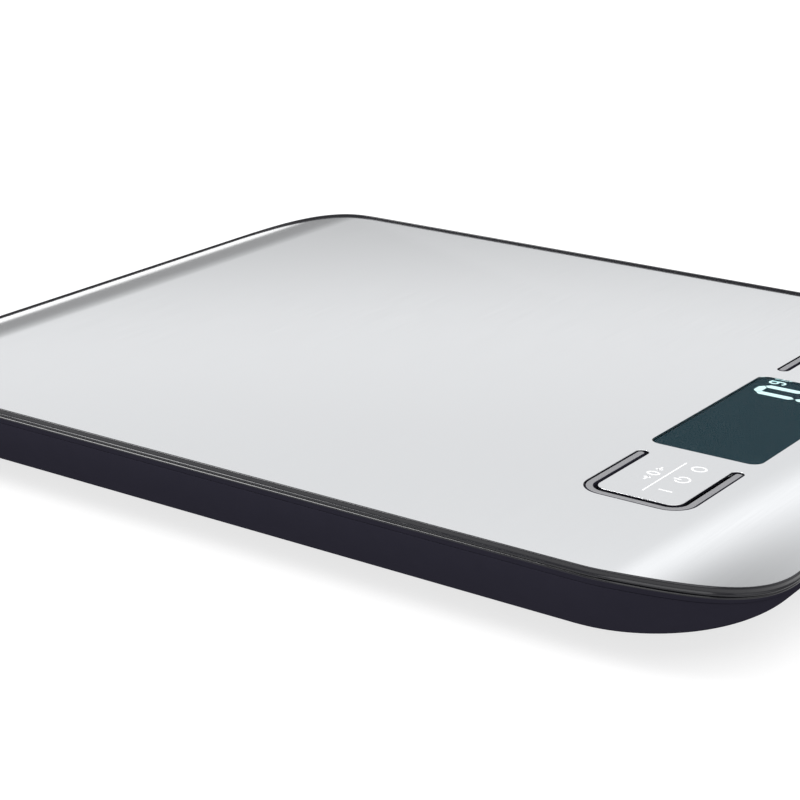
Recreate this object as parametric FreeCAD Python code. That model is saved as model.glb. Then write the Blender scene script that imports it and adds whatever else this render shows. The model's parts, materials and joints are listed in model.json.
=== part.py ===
import FreeCAD, Part
import math
import os

# Slim electronic kitchen scale: a brushed steel plate lies in the shallow rim of a black top cover,
# both ends of which curve down, over a black tub-shaped lower housing. The whole body stands on four
# sensor feet. A display window and two keys, which are tongues cut free in the plate, are at the front.
# Millimetres. Origin: middle of the footprint, on the table. +X is to the user's right,
# +Y is away from the user, +Z is up.

# Driving dimensions
WIDTH = 140.0
LENGTH = 180.0
HEIGHT = 15.6
CORNER_R = 22.5
GROUND_GAP = 2.6          # underside above the table
FLAT_HALF = 71.0          # half length of the flat stretch; beyond it the ends curve down
END_DROP = 3.75           # how far the rim has dropped at the very end

# Plate, rim and top cover: depths are measured down from the top surface of the rim
RIM_WIDTH = 0.65
PLATE_INSET = 0.8
PLATE_SINK = 0.44
PLATE_T = 0.5
TAPE_T = 0.15
COVER_DEPTH = 2.4
PLATE_TOP = HEIGHT - PLATE_SINK
PLATE_BOTTOM = PLATE_TOP - PLATE_T
DECK_TOP = PLATE_BOTTOM - TAPE_T
DECK_BOTTOM = HEIGHT - COVER_DEPTH

# Tub: quarter-round flanks about a line TUB_C inside the outline and TUB_C_DEPTH below the rim
TUB_C = 10.7
TUB_C_DEPTH = 2.45
TUB_R = HEIGHT - GROUND_GAP - TUB_C_DEPTH
WALL = 1.6
CORNER_KEEP = 0.3         # loss of corner radius for each millimetre of inset
PARTING_GAP = 0.1
FUSE = 0.3                # depth by which a feature is sunk into what it stands on
TUB_STEPS = 6
UNDERSIDE = GROUND_GAP
FLOOR_TOP = UNDERSIDE + WALL

# Display window
WINDOW_Y = -60.2
WINDOW = (40.2, 19.0)
WINDOW_R = 1.8
WINDOW_PLAY = 0.15
LENS_T = 1.0
VIEW_MARGIN = 1.6

# Keys: right-hand key; the left one is its mirror image
SLOT_X = 44.5
SLOT_Y = (-69.9, -51.2)
SLOT_W = 2.2
SLOT_R = 4.2
ROOT_X = 25.3
ROOT_GAP = 0.03
KEY_Y = 0.5 * (SLOT_Y[0] + SLOT_Y[1])
PUSH_X = 36.5
SURROUND_OUTER_GAP = 0.20
SURROUND_INNER_GAP = 0.60
SURROUND_RISE = 0.58
DECK_LEDGE = 0.15

# Circuit board and display stack
BOARD_TOP = 9.8
BOARD_T = 1.6
BOARD_X = 50.0
BOARD_Y = (-74.0, -46.0)
BOARD_POSTS = [(x, y) for x in (-27.5, 27.5) for y in (-71.5, -48.5)]
GLASS = (44.0, 24.0)
GLASS_T = 0.85
GLASS_LOW = 11.2
FILM_T = 0.2
HOLDER_GAP = 0.15
LED_Y = (WINDOW_Y - 4.0, WINDOW_Y + 4.0)
SWITCH_SIDE = 6.0
SWITCH_T = 2.5
PLUNGER_R = 1.7
PLUNGER_SPAN = (1.7, 4.1)
CHIP_DOME_R = 6.0
BOARD_SCREW_R = 0.8

# Fasteners
SCREW_SPOTS = [(-54.0, -30.0), (54.0, -30.0), (-54.0, 30.0), (54.0, 30.0), (0.0, -77.5), (0.0, 77.5)]
SCREW_R = 1.1
HEAD_R = 2.4
HEAD_T = 1.4
SEAT_Z = 4.6
BOSS_R = 4.0
POST_R = 3.0
POST_LOW = 7.4
PILOT_TOP = 12.2

# Battery bay and door
DOOR_HALF_X = 17.0
DOOR_Y = (16.0, 44.0)
DOOR_PLAY = 0.25
DOOR_T = 1.5
BAY_HALF_X = 17.5
BAY_Y = (12.9, 45.6)
BAY_TOP = 8.8
BAY_WALL = 1.4
CELL_R = 10.0
CELL_T = 3.2
CELL_LOW = 4.6
CELL_Y = 31.0
CELL_STEP = 1.2
CONTACT_T = 0.3
THUMB_R = 9.0

# Sensor feet
FOOT_X = 44.5
FOOT_Y = 62.0
FOOT_R = 10.5
FOOT_HOLE_R = 10.9
PAD_R = 8.5
PAD_T = 1.2
CUP_LOW = 0.9
CUP_TOP = 3.4
SENSOR_SIDE = 25.0
SENSOR_LOW = 5.0
SENSOR_T = 1.5
HOLDER_SIDE = 27.0
HOLDER_LIP = 1.2
RIVET_R = 1.5
RIVET_HEAD_R = 2.6
RIVET_HEAD_T = 0.6
RIVET_LOW = PAD_T + 0.8
FOOT_NAMES = {"front_left": (-1, -1), "front_right": (1, -1), "rear_left": (-1, 1), "rear_right": (1, 1)}

V = FreeCAD.Vector
X_AXIS = V(1, 0, 0)


def outline(width, length, radius, centre=(0.0, 0.0), z=0.0):
    """Rounded rectangle wire, anticlockwise, in the plane at height z."""
    edges = []
    last = None
    first = None
    for sx, sy, start in ((1, 1, 0), (-1, 1, 90), (-1, -1, 180), (1, -1, 270)):
        cx = centre[0] + sx * (width / 2 - radius)
        cy = centre[1] + sy * (length / 2 - radius)
        spots = []
        for turn in (0, 45, 90):
            angle = math.radians(start + turn)
            spots.append(V(cx + radius * math.cos(angle), cy + radius * math.sin(angle), z))
        if last is None:
            first = spots[0]
        else:
            edges.append(Part.LineSegment(last, spots[0]).toShape())
        edges.append(Part.Arc(*spots).toShape())
        last = spots[2]
    edges.append(Part.LineSegment(last, first).toShape())
    return Part.Wire(edges)


def prism(width, length, radius, low, high, centre=(0.0, 0.0)):
    face = Part.Face(outline(width, length, radius, centre, low))
    return face.extrude(V(0, 0, high - low))


def block(x, y, z):
    """Box from three (low, high) pairs."""
    return Part.makeBox(x[1] - x[0], y[1] - y[0], z[1] - z[0], V(x[0], y[0], z[0]))


def disc(radius, low, high, centre=(0.0, 0.0)):
    return Part.makeCylinder(radius, high - low, V(centre[0], centre[1], low))


def joined(shapes):
    first = shapes[0]
    return first.multiFuse(shapes[1:]).removeSplitter()


def mirrored(shape):
    return shape.mirror(V(0, 0, 0), X_AXIS)


def drop(y):
    """How far the top surfaces have curved down at the distance y from the middle."""
    run = LENGTH / 2 - FLAT_HALF
    radius = (run * run + END_DROP * END_DROP) / (2 * END_DROP)
    beyond = max(abs(y) - FLAT_HALF, 0.0)
    return radius - math.sqrt(radius * radius - beyond * beyond)


def below(depth):
    """Everything under the curved-down top surface, lowered by depth."""
    top = HEIGHT - depth
    end = LENGTH / 2 + 2.0
    floor = -5.0
    spots = [V(0, y, top - drop(y)) for y in (-end, -(end + FLAT_HALF) / 2, -FLAT_HALF)]
    spots += [V(0, y, top - drop(y)) for y in (FLAT_HALF, (end + FLAT_HALF) / 2, end)]
    edges = [
        Part.Arc(spots[0], spots[1], spots[2]).toShape(),
        Part.LineSegment(spots[2], spots[3]).toShape(),
        Part.Arc(spots[3], spots[4], spots[5]).toShape(),
        Part.LineSegment(spots[5], V(0, end, floor)).toShape(),
        Part.LineSegment(V(0, end, floor), V(0, -end, floor)).toShape(),
        Part.LineSegment(V(0, -end, floor), spots[0]).toShape(),
    ]
    face = Part.Face(Part.Wire(edges))
    face.translate(V(-WIDTH, 0, 0))
    return face.extrude(V(2 * WIDTH, 0, 0))


def layer(inset, top, bottom):
    """Sheet of the scale's outline, inset all round, between two depths below the rim's top surface."""
    body = prism(WIDTH - 2 * inset, LENGTH - 2 * inset, CORNER_R - inset, 0.0, HEIGHT + 1.0)
    return body.common(below(top)).cut(below(bottom))


def key_area(edge, radius, root, low, high):
    """Right-hand tongue shape: the slot's outer edge moved inwards by edge, rounded at its free end."""
    x_free = SLOT_X - edge
    y_low = SLOT_Y[0] + edge
    y_high = SLOT_Y[1] - edge
    reach = x_free - root + 4 * radius
    centre = (x_free - reach / 2, (y_low + y_high) / 2)
    whole = prism(reach, y_high - y_low, radius, low, high, centre)
    return whole.common(block((root, x_free + 1), (y_low - 1, y_high + 1), (low - 1, high + 1)))


def arm_ends(radius, low, high):
    """Round ends of the slot's two arms."""
    offset = SLOT_W / 2
    return [disc(radius, low, high, (ROOT_X, y)) for y in (SLOT_Y[0] + offset, SLOT_Y[1] - offset)]


def both_sides(shapes):
    return shapes + [mirrored(shape) for shape in shapes]


def tube(spots, radius, bend):
    """Round wire along straight runs joined by tangent arcs of radius bend."""
    points = [V(*spot) for spot in spots]
    edges = []
    here = points[0]
    for before, corner, after in zip(points, points[1:], points[2:]):
        back = (before - corner).normalize()
        ahead = (after - corner).normalize()
        half = back.getAngle(ahead) / 2
        reach = bend / math.tan(half)
        middle = (back + ahead).normalize() * (bend / math.sin(half) - bend)
        start = corner + back * reach
        end = corner + ahead * reach
        edges.append(Part.LineSegment(here, start).toShape())
        edges.append(Part.Arc(start, corner + middle, end).toShape())
        here = end
    edges.append(Part.LineSegment(here, points[-1]).toShape())
    circle = Part.Wire(Part.makeCircle(radius, points[0], points[1] - points[0]))
    return Part.Wire(edges).makePipeShell([circle], True, False)


# ---- Top of the scale ----

def platform_plate():
    sheet = layer(PLATE_INSET, PLATE_SINK, PLATE_SINK + PLATE_T)
    low = PLATE_BOTTOM - 1
    high = PLATE_TOP + 1
    window = prism(WINDOW[0] + 2 * WINDOW_PLAY, WINDOW[1] + 2 * WINDOW_PLAY, WINDOW_R + WINDOW_PLAY,
                   low, high, (0.0, WINDOW_Y))
    cuts = both_sides([key_area(0.0, SLOT_R, ROOT_X, low, high)] + arm_ends(SLOT_W / 2, low, high))
    return sheet.cut([window] + cuts)


def key():
    return key_area(SLOT_W, SLOT_R - SLOT_W, ROOT_X + ROOT_GAP, PLATE_BOTTOM, PLATE_TOP)


def key_pad():
    """Rubber nub glued under the tongue, above the switch."""
    shaft = disc(2.0, PLATE_BOTTOM - 0.71, PLATE_BOTTOM, (PUSH_X, KEY_Y))
    flange = disc(3.2, PLATE_BOTTOM - 0.25, PLATE_BOTTOM, (PUSH_X, KEY_Y))
    return joined([shaft, flange])


def plate_tape():
    """Double-sided tape that holds the plate on the deck of the top cover."""
    sheet = layer(2.0, PLATE_SINK + PLATE_T, PLATE_SINK + PLATE_T + TAPE_T)
    low = DECK_TOP - 1
    high = PLATE_BOTTOM + 1
    window = prism(WINDOW[0] + 2.0, WINDOW[1] + 2.0, WINDOW_R, low, high, (0.0, WINDOW_Y))
    cuts = both_sides([key_area(-0.6, SLOT_R, ROOT_X - 2.0, low, high)])
    return sheet.cut([window] + cuts)


def key_surround():
    """Grey U-shaped ridge that stands in the slot round a key."""
    low = DECK_TOP
    high = DECK_TOP + SURROUND_RISE
    inner_edge = SLOT_W - SURROUND_INNER_GAP
    outer = key_area(SURROUND_OUTER_GAP, SLOT_R - SURROUND_OUTER_GAP, ROOT_X, low, high)
    width = inner_edge - SURROUND_OUTER_GAP
    centre_edge = SURROUND_OUTER_GAP + width / 2
    tips = [disc(width / 2, low, high, (ROOT_X, y))
            for y in (SLOT_Y[0] + centre_edge, SLOT_Y[1] - centre_edge)]
    inner = key_area(inner_edge, SLOT_R - inner_edge, ROOT_X - 3.0, low - 1, high + 1)
    return joined([outer] + tips).cut(inner)


def display_lens():
    return prism(WINDOW[0], WINDOW[1], WINDOW_R, PLATE_TOP - LENS_T, PLATE_TOP, (0.0, WINDOW_Y))


def view_hole(low, high):
    return prism(WINDOW[0] - 2 * VIEW_MARGIN, WINDOW[1] - 2 * VIEW_MARGIN, 1.0, low, high, (0.0, WINDOW_Y))


def lens_tape():
    low = PLATE_TOP - LENS_T - TAPE_T
    high = PLATE_TOP - LENS_T
    ring = prism(WINDOW[0], WINDOW[1], WINDOW_R, low, high, (0.0, WINDOW_Y))
    return ring.cut(view_hole(low - 1, high + 1))


def top_cover():
    """Black cover: rim, deck, two side lips, screw posts and stiffening ribs."""
    cover = layer(0.0, 0.0, COVER_DEPTH).common(tub(TUB_C))
    cover = cover.cut(layer(RIM_WIDTH, -0.5, PLATE_SINK + PLATE_T + TAPE_T))
    lip_x = WIDTH / 2 - TUB_C + TUB_R - WALL - 0.5
    extras = []
    for side in (-1, 1):
        spans = sorted((side * lip_x, side * (lip_x - 1.0)))
        extras.append(block(spans, (-62.0, 62.0), (DECK_BOTTOM - 1.8, DECK_BOTTOM + FUSE)))
    for x, y in SCREW_SPOTS:
        extras.append(disc(POST_R, POST_LOW, DECK_BOTTOM - drop(y) + FUSE, (x, y)))
    for x, y in BOARD_POSTS:
        extras.append(disc(2.0, BOARD_TOP, DECK_BOTTOM + FUSE, (x, y)))
    for y in (-38.0, -8.0, 52.0):
        extras.append(block((-50.0, 50.0), (y - 0.5, y + 0.5), (DECK_BOTTOM - 2.4, DECK_BOTTOM + FUSE)))
    cover = joined([cover] + extras)
    pocket = prism(WINDOW[0] + 2 * WINDOW_PLAY, WINDOW[1] + 2 * WINDOW_PLAY, WINDOW_R + WINDOW_PLAY,
                   PLATE_TOP - LENS_T - TAPE_T, HEIGHT, (0.0, WINDOW_Y))
    holes = [pocket, view_hole(DECK_BOTTOM - 1, HEIGHT)]
    edge = SLOT_W - SURROUND_INNER_GAP + DECK_LEDGE
    holes += both_sides([key_area(edge, SLOT_R - edge, ROOT_X + 1.2, DECK_BOTTOM - 1, HEIGHT)])
    holes += [disc(SCREW_R, POST_LOW - 1, PILOT_TOP, spot) for spot in SCREW_SPOTS]
    holes += [disc(BOARD_SCREW_R, BOARD_TOP - 1, DECK_BOTTOM - 0.4, spot) for spot in BOARD_POSTS]
    return cover.cut(holes)


# ---- Lower housing and battery bay ----

def tub(radius):
    """Solid tub with quarter-round flanks of the given radius."""
    sections = []
    for step in range(TUB_STEPS + 1):
        angle = math.radians(90.0 * step / TUB_STEPS)
        inset = TUB_C - radius * math.cos(angle)
        z = HEIGHT - TUB_C_DEPTH - radius * math.sin(angle)
        corner = CORNER_R - (TUB_C - radius) - CORNER_KEEP * (inset - TUB_C + radius)
        sections.append(outline(WIDTH - 2 * inset, LENGTH - 2 * inset, corner, z=z))
    flanks = Part.makeLoft(sections, True, False)
    top_inset = TUB_C - radius
    top = prism(WIDTH - 2 * top_inset, LENGTH - 2 * top_inset, CORNER_R - top_inset,
                HEIGHT - TUB_C_DEPTH, HEIGHT)
    return flanks.fuse(top)


def foot_spots():
    return [(sx * FOOT_X, sy * FOOT_Y) for sx, sy in FOOT_NAMES.values()]


def lower_housing():
    """Black tub with screw bosses, sensor seats and the battery bay."""
    outer = tub(TUB_R).common(below(COVER_DEPTH + PARTING_GAP))
    shell = outer.cut(tub(TUB_R - WALL))
    inside = FLOOR_TOP - 0.4
    extras = [disc(BOSS_R, inside, POST_LOW, spot) for spot in SCREW_SPOTS]
    for spot in foot_spots():
        seat = prism(HOLDER_SIDE, HOLDER_SIDE, 2.0, inside, SENSOR_LOW, spot)
        extras.append(seat)
    bay = block((-BAY_HALF_X - BAY_WALL, BAY_HALF_X + BAY_WALL), (BAY_Y[0] - BAY_WALL, BAY_Y[1] + BAY_WALL),
                (inside, BAY_TOP + 1.2))
    extras.append(bay)
    shell = joined([shell] + extras)
    holes = [block((-BAY_HALF_X, BAY_HALF_X), BAY_Y, (FLOOR_TOP, BAY_TOP))]
    holes.append(prism(2 * DOOR_HALF_X, DOOR_Y[1] - DOOR_Y[0], 2.5, UNDERSIDE - 1, FLOOR_TOP + 1,
                       (0.0, sum(DOOR_Y) / 2)))
    for spot in foot_spots():
        holes.append(disc(FOOT_HOLE_R, UNDERSIDE - 1, SENSOR_LOW + 1, spot))
    for spot in SCREW_SPOTS:
        holes.append(disc(HEAD_R + 0.3, UNDERSIDE - 1, SEAT_Z, spot))
        holes.append(disc(SCREW_R + 0.2, SEAT_Z - 1, POST_LOW + 1, spot))
    thumb = Part.makeSphere(THUMB_R, V(0.0, DOOR_Y[1] + 3.0, UNDERSIDE - 8.1))
    return shell.cut(holes + [thumb])


def battery_door():
    """Flat door with two hook tabs at its front edge and a sprung latch nib at its rear edge."""
    y_low = DOOR_Y[0] + DOOR_PLAY
    y_high = DOOR_Y[1] - DOOR_PLAY
    half_x = DOOR_HALF_X - DOOR_PLAY
    top = UNDERSIDE + DOOR_T
    panel = prism(2 * half_x, y_high - y_low, 2.3, UNDERSIDE, top, (0.0, (y_low + y_high) / 2))
    pieces = [panel]
    for x in (-10.0, 10.0):
        pieces.append(block((x - 3, x + 3), (y_low + 0.3, y_low + 2.2), (top - FUSE, 5.2)))
        pieces.append(block((x - 3, x + 3), (DOOR_Y[0] - 2.1, y_low + 2.2), (4.35, 5.2)))
    for y in (25.0, 37.0):
        pieces.append(block((-6.0, 6.0), (y - 0.6, y + 0.6), (top - FUSE, CELL_LOW - 0.05)))
    pieces.append(block((-3.5, 3.5), (y_high - 1.0, y_high + 0.1), (top - 0.7, top)))
    door = joined(pieces)
    slots = [block((x - 0.4, x + 0.4), (y_high - 6.0, y_high + 1.0), (UNDERSIDE - 1, top + 1))
             for x in (-4.4, 4.4)]
    grip = [block((-8.0, 8.0), (y - 0.35, y + 0.35), (UNDERSIDE - 0.1, UNDERSIDE + 0.35))
            for y in (21.0, 22.6, 24.2)]
    return door.cut(slots + grip)


def coin_cell():
    """Button cell: wide can with a narrower cap on top."""
    can = disc(CELL_R, CELL_LOW, CELL_LOW + CELL_T - 0.3, (0.0, CELL_Y))
    cap = disc(CELL_R - CELL_STEP, CELL_LOW + CELL_T - 0.31, CELL_LOW + CELL_T, (0.0, CELL_Y))
    return joined([can, cap])


def minus_contact():
    """Leaf under the bay's roof that presses on the cell's cap."""
    strip = block((-3.0, 3.0), (CELL_Y - 9.0, CELL_Y + 9.0), (BAY_TOP - CONTACT_T, BAY_TOP))
    leaf = block((-2.0, 2.0), (CELL_Y - 2.0, CELL_Y + 2.0), (CELL_LOW + CELL_T, BAY_TOP - 0.29))
    return joined([strip, leaf])


def plus_contact():
    """Spring clip that bears on the side of the cell's can."""
    foot = block((CELL_R + 0.05, CELL_R + 5.0), (CELL_Y - 3.0, CELL_Y + 3.0), (BAY_TOP - CONTACT_T, BAY_TOP))
    arm = block((CELL_R + 0.05, CELL_R + 0.35), (CELL_Y - 3.0, CELL_Y + 3.0), (CELL_LOW + 0.4, BAY_TOP - 0.1))
    return joined([foot, arm])


# ---- Display and circuit board ----

def display_block(size, low, high, y_shift=0.0):
    y = WINDOW_Y + y_shift
    return block((-size[0] / 2, size[0] / 2), (y - size[1] / 2, y + size[1] / 2), (low, high))


def lcd_panel():
    """Two bonded glass sheets; the rear one is longer, so its contacts lie open."""
    rear = display_block(GLASS, GLASS_LOW, GLASS_LOW + GLASS_T)
    front = display_block((GLASS[0], GLASS[1] - 2.0), GLASS_LOW + GLASS_T, GLASS_LOW + 2 * GLASS_T, 1.0)
    return joined([rear, front])


def polariser(low):
    return display_block((GLASS[0] - 4.0, GLASS[1] - 5.5), low, low + FILM_T)


def light_guide():
    guide = display_block((GLASS[0] - 4.0, 17.0), BOARD_TOP + 0.05, GLASS_LOW - FILM_T - 0.05)
    notches = [block((-GLASS[0] / 2, -GLASS[0] / 2 + 4.0), (y - 2.0, y + 2.0), (BOARD_TOP, GLASS_LOW))
               for y in LED_Y]
    return guide.cut(notches)


def backlight_leds():
    x = (-GLASS[0] / 2 + 0.6, -GLASS[0] / 2 + 3.6)
    return Part.makeCompound([block(x, (y - 1.6, y + 1.6), (BOARD_TOP, BOARD_TOP + 1.0))
                              for y in LED_Y])


def zebra_strip():
    """Elastic connector between the display glass and the board."""
    return display_block((GLASS[0] - 2.0, 1.6), BOARD_TOP, GLASS_LOW, -GLASS[1] / 2 + 1.1)


def lcd_holder():
    outer = display_block((GLASS[0] + 2.6, GLASS[1] + 2.4), BOARD_TOP, DECK_BOTTOM - HOLDER_GAP)
    inner = display_block((GLASS[0] + 0.2, GLASS[1] + 0.2), BOARD_TOP - 1, DECK_BOTTOM + 1)
    return outer.cut(inner)


def main_board():
    board = block((-BOARD_X, BOARD_X), BOARD_Y, (BOARD_TOP - BOARD_T, BOARD_TOP))
    return board.cut([disc(1.2, BOARD_TOP - BOARD_T - 1, BOARD_TOP + 1, spot) for spot in BOARD_POSTS])


def controller_chip():
    """Bare chip under a low dome of black resin, on the board's underside."""
    bottom = BOARD_TOP - BOARD_T
    ball = Part.makeSphere(10.0, V(0.0, WINDOW_Y, bottom + 10.0 - 1.0))
    return ball.common(disc(CHIP_DOME_R, bottom - 2.0, bottom, (0.0, WINDOW_Y)))


def board_parts():
    """Chip resistors and capacitors on the board's underside."""
    bottom = BOARD_TOP - BOARD_T
    parts = []
    for index in range(6):
        x = -20.0 + 8.0 * index
        parts.append(block((x - 1.0, x + 1.0), (-50.6, -49.4), (bottom - 0.7, bottom)))
    return Part.makeCompound(parts)


def switch_body():
    half = SWITCH_SIDE / 2
    spans = (PUSH_X - half, PUSH_X + half), (KEY_Y - half, KEY_Y + half)
    body = block(*spans, (BOARD_TOP, BOARD_TOP + SWITCH_T))
    well = disc(PLUNGER_R + 0.05, BOARD_TOP + 1.2, BOARD_TOP + SWITCH_T + 0.5, (PUSH_X, KEY_Y))
    return body.cut(well)


def switch_plunger():
    return disc(PLUNGER_R, BOARD_TOP + PLUNGER_SPAN[0], BOARD_TOP + PLUNGER_SPAN[1], (PUSH_X, KEY_Y))


# ---- Sensor feet, built at the origin and moved to each corner ----

def sensor_plate():
    """Stamped steel plate with a centre tongue that bends under load."""
    plate = prism(SENSOR_SIDE, SENSOR_SIDE, 2.0, SENSOR_LOW, SENSOR_LOW + SENSOR_T)
    window = prism(17.0, 17.0, 1.5, SENSOR_LOW - 1, SENSOR_LOW + SENSOR_T + 1)
    tongue = block((-4.5, 4.5), (-6.0, 9.0), (SENSOR_LOW, SENSOR_LOW + SENSOR_T))
    plate = joined([plate.cut(window), tongue])
    return plate.cut(disc(RIVET_R, SENSOR_LOW - 1, SENSOR_LOW + SENSOR_T + 1))


def strain_gauge():
    top = SENSOR_LOW + SENSOR_T
    return block((-2.0, 2.0), (3.2, 7.2), (top, top + 0.15))


def sensor_holder():
    """Plastic frame that clamps the rim of the sensor plate onto its seat."""
    top = SENSOR_LOW + SENSOR_T
    frame = prism(HOLDER_SIDE, HOLDER_SIDE, 2.0, SENSOR_LOW, top + HOLDER_LIP)
    recess = prism(SENSOR_SIDE, SENSOR_SIDE, 2.0, SENSOR_LOW - 1, top)
    opening = prism(18.0, 18.0, 1.5, top - 1, top + 2)
    return frame.cut([recess, opening])


def foot_cup():
    """Round foot with a post that reaches up to the sensor's tongue."""
    cup = disc(FOOT_R, CUP_LOW, CUP_TOP)
    rim = [edge for edge in cup.Edges if abs(edge.BoundBox.ZMax - CUP_LOW) < 0.01]
    cup = cup.makeFillet(0.8, rim)
    cup = joined([cup, disc(3.0, CUP_TOP - FUSE, SENSOR_LOW)])
    return cup.cut([disc(PAD_R, CUP_LOW - 1, PAD_T), disc(RIVET_R, RIVET_LOW, SENSOR_LOW + 1)])


def foot_pad():
    pad = disc(PAD_R, 0.0, PAD_T)
    edge = [edge for edge in pad.Edges if edge.BoundBox.ZMax < 0.01]
    return pad.makeFillet(0.3, edge)


def foot_rivet():
    """Rivet that ties the foot's post to the sensor's tongue."""
    top = SENSOR_LOW + SENSOR_T
    return joined([disc(RIVET_R, RIVET_LOW, top), disc(RIVET_HEAD_R, top, top + RIVET_HEAD_T)])


# ---- Screws and wires ----

def housing_screw(spot):
    head = disc(HEAD_R, SEAT_Z - HEAD_T, SEAT_Z, spot)
    shank = disc(SCREW_R, SEAT_Z - 0.1, PILOT_TOP - 0.4, spot)
    cross = [block((spot[0] - a, spot[0] + a), (spot[1] - b, spot[1] + b),
                   (SEAT_Z - HEAD_T - 1, SEAT_Z - HEAD_T + 0.8)) for a, b in ((1.5, 0.3), (0.3, 1.5))]
    return joined([head, shank]).cut(cross)


def board_screw(spot):
    bottom = BOARD_TOP - BOARD_T
    head = disc(1.8, bottom - 1.0, bottom, spot)
    return joined([head, disc(BOARD_SCREW_R, bottom - 0.1, DECK_BOTTOM - 0.6, spot)])


def sensor_wires():
    """One three-core lead from each sensor to the board's underside, lying on the housing's floor."""
    lie = FLOOR_TOP + 0.8
    board = BOARD_TOP - BOARD_T
    rear = tube([(30.5, 55.0, lie), (25.0, 55.0, lie), (25.0, -44.0, lie), (20.0, -54.0, lie),
                 (20.0, -54.0, board)], 0.7, 1.8)
    front = tube([(30.5, -62.0, lie), (22.0, -62.0, lie), (22.0, -62.0, board)], 0.7, 1.8)
    return Part.makeCompound(both_sides([rear, front]))


def battery_wires():
    lie = FLOOR_TOP + 0.6
    board = BOARD_TOP - BOARD_T
    wire = tube([(4.0, BAY_Y[0] - BAY_WALL - 0.1, lie), (4.0, -52.8, lie), (4.0, -52.8, board)], 0.5, 1.5)
    return Part.makeCompound(both_sides([wire]))


def build():
    nodes = {
        "platform_plate": platform_plate(),
        "plate_tape": plate_tape(),
        "top_cover": top_cover(),
        "lower_housing": lower_housing(),
        "battery_door": battery_door(),
        "coin_cell": coin_cell(),
        "minus_contact": minus_contact(),
        "plus_contact": plus_contact(),
        "display_lens": display_lens(),
        "lens_tape": lens_tape(),
        "lcd_panel": lcd_panel(),
        "front_polariser": polariser(GLASS_LOW + 2 * GLASS_T),
        "rear_polariser": polariser(GLASS_LOW - FILM_T),
        "light_guide": light_guide(),
        "backlight_leds": backlight_leds(),
        "zebra_strip": zebra_strip(),
        "lcd_holder": lcd_holder(),
        "main_board": main_board(),
        "controller_chip": controller_chip(),
        "board_parts": board_parts(),
        "housing_screws": Part.makeCompound([housing_screw(spot) for spot in SCREW_SPOTS]),
        "board_screws": Part.makeCompound([board_screw(spot) for spot in BOARD_POSTS]),
        "sensor_wires": sensor_wires(),
        "battery_wires": battery_wires(),
    }
    keyed = {"key": key, "key_pad": key_pad, "key_surround": key_surround,
             "switch_body": switch_body, "switch_plunger": switch_plunger}
    for name, make in keyed.items():
        right = make()
        nodes["right_" + name] = right
        nodes["left_" + name] = mirrored(right)
    footed = {"sensor_plate": sensor_plate, "strain_gauge": strain_gauge, "sensor_holder": sensor_holder,
              "foot_cup": foot_cup, "foot_pad": foot_pad, "foot_rivet": foot_rivet}
    for name, make in footed.items():
        base = make()
        for corner, (sx, sy) in FOOT_NAMES.items():
            nodes[corner + "_" + name] = base.translated(V(sx * FOOT_X, sy * FOOT_Y, 0))
    return nodes


os.makedirs("parts", exist_ok=True)
for name, shape in build().items():
    solids = len(shape.Solids)
    print("%-28s solids %d  volume %9.2f  valid %s" % (name, solids, shape.Volume, shape.isValid()))
    shape.exportStep(os.path.join("parts", name + ".step"))
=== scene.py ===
import json
import math

import bmesh
import bpy
from bpy.props import FloatProperty, FloatVectorProperty, PointerProperty
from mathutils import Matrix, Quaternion, Vector


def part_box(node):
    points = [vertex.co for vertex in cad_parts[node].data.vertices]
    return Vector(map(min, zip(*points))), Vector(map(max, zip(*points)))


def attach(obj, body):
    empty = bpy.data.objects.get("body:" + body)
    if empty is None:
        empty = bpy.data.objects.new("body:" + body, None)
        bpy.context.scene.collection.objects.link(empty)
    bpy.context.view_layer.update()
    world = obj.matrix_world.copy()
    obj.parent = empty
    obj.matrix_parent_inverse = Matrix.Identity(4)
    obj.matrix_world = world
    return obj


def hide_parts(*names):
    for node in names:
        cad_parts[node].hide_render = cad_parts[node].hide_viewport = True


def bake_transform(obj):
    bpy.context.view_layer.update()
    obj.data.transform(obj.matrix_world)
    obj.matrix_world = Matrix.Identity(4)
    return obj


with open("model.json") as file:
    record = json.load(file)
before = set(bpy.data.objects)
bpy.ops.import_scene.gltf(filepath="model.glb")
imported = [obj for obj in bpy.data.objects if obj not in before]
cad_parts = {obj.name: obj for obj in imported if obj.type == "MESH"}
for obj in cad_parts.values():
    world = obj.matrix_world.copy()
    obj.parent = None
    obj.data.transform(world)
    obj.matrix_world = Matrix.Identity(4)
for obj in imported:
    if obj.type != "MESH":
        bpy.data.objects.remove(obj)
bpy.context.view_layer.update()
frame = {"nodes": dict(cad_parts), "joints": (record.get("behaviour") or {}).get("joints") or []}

bl_info = {
    "name": "Kitchen Scale Looks",
    "version": (1, 0, 0),
    "blender": (4, 5, 0),
    "location": "3D View > Sidebar > Scale",
    "description": "Builds the visible surfaces and finishes of a slim kitchen scale on its packed frame",
    "category": "Object",
}

# ---- Places taken from the frame, in metres ----

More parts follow.
